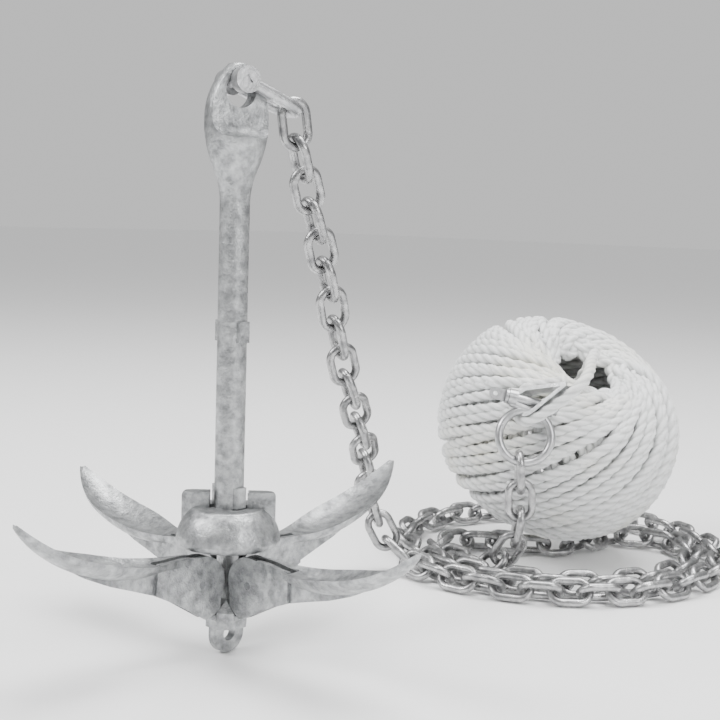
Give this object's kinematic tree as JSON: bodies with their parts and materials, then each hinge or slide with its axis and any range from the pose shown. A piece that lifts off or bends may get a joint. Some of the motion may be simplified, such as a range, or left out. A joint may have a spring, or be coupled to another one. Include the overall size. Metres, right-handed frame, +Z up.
{
  "type": "boat anchor",
  "caption": "Galvanised folding grapnel anchor with open flukes and sliding collar, shackled to short-link chain that ends in a shackle, thimble and ball of laid rope.",
  "frame": {"origin": "centre of the tripping eye under the crown; the floor it stands on is 12.5 mm below", "axes": "+Z up the shank, +Y towards the chain and the rope ball, +X along the tripping eye's hole"},
  "size_m": [0.326, 0.6761, 0.38],
  "materials": {
    "anchor_zinc": "hot-dip galvanised, mottled grey, semi-matt",
    "pin_steel": "dull zinc",
    "chain_zinc": "galvanised, dull with bright wear",
    "shackle_zinc": "galvanised, semi-bright",
    "thimble_zinc": "thin pressed sheet, galvanised",
    "rope": "white laid rope, soft sheen"
  },
  "bodies": {
    "anchor": {"bow_shackle": "shackle_zinc", "bow_shackle_pin": "shackle_zinc", "floor_links_01": "chain_zinc", "floor_links_02": "chain_zinc", "floor_links_03": "chain_zinc", "floor_links_04": "chain_zinc", "floor_links_05": "chain_zinc", "floor_links_06": "chain_zinc", "floor_links_07": "chain_zinc", "floor_links_08": "chain_zinc", "floor_links_09": "chain_zinc", "floor_links_10": "chain_zinc", "floor_links_11": "chain_zinc", "floor_links_12": "chain_zinc", "floor_links_13": "chain_zinc", "floor_links_14": "chain_zinc", "floor_links_15": "chain_zinc", "floor_links_16": "chain_zinc", "floor_links_17": "chain_zinc", "floor_links_18": "chain_zinc", "fluke_pins": "pin_steel", "hanging_link_01": "chain_zinc", "hanging_link_02": "chain_zinc", "hanging_link_03": "chain_zinc", "hanging_link_04": "chain_zinc", "hanging_link_05": "chain_zinc", "hanging_link_06": "chain_zinc", "hanging_link_07": "chain_zinc", "hanging_link_08": "chain_zinc", "hanging_link_09": "chain_zinc", "hanging_link_10": "chain_zinc", "hanging_link_11": "chain_zinc", "hanging_link_12": "chain_zinc", "hanging_link_13": "chain_zinc", "hanging_link_14": "chain_zinc", "hanging_link_15": "chain_zinc", "hanging_link_16": "chain_zinc", "hanging_link_17": "chain_zinc", "rising_link_1": "chain_zinc", "rising_link_2": "chain_zinc", "rising_link_3": "chain_zinc", "rising_link_4": "chain_zinc", "rope_coil": "rope", "rope_tail": "rope", "shank": "anchor_zinc", "thimble": "thimble_zinc", "tripping_eye": "anchor_zinc"},
    "collar": {"collar": "anchor_zinc"},
    "head_shackle": {"head_shackle_bow": "shackle_zinc", "head_shackle_bolt": "shackle_zinc"},
    "fluke_front_right": {"fluke_front_right": "anchor_zinc"},
    "fluke_rear_right": {"fluke_rear_right": "anchor_zinc"},
    "fluke_rear_left": {"fluke_rear_left": "anchor_zinc"},
    "fluke_front_left": {"fluke_front_left": "anchor_zinc"}
  },
  "joints": [
    {"name": "collar_lift", "type": "slide", "parent": "anchor", "child": "collar", "axis": [0, 0, 1], "range_m": [0, 0.15]},
    {"name": "fluke_front_right_fold", "type": "hinge", "parent": "anchor", "child": "fluke_front_right", "pos_m": [0.025, 0, 0.0375], "axis": [0, -1, 0], "range_deg": [0, 73]},
    {"name": "fluke_rear_right_fold", "type": "hinge", "parent": "anchor", "child": "fluke_rear_right", "pos_m": [0, 0.025, 0.0375], "axis": [1, 0, 0], "range_deg": [0, 68.5]},
    {"name": "fluke_rear_left_fold", "type": "hinge", "parent": "anchor", "child": "fluke_rear_left", "pos_m": [-0.025, 0, 0.0375], "axis": [0, 1, 0], "range_deg": [0, 73]},
    {"name": "fluke_front_left_fold", "type": "hinge", "parent": "anchor", "child": "fluke_front_left", "pos_m": [0, -0.025, 0.0375], "axis": [-1, 0, 0], "range_deg": [0, 68.5]},
    {"name": "head_shackle_swing", "type": "hinge", "parent": "anchor", "child": "head_shackle", "pos_m": [0, 0, 0.3569], "axis": [-0.9659, 0.2588, 0], "range_deg": [0, 3.5]}
  ],
  "couplings": [
    {"joint": "fluke_front_right_fold", "follows": "collar_lift", "rad_per_m": 8.482},
    {"joint": "fluke_rear_right_fold", "follows": "collar_lift", "rad_per_m": 7.959},
    {"joint": "fluke_rear_left_fold", "follows": "collar_lift", "rad_per_m": 8.482},
    {"joint": "fluke_front_left_fold", "follows": "collar_lift", "rad_per_m": 7.959}
  ]
}
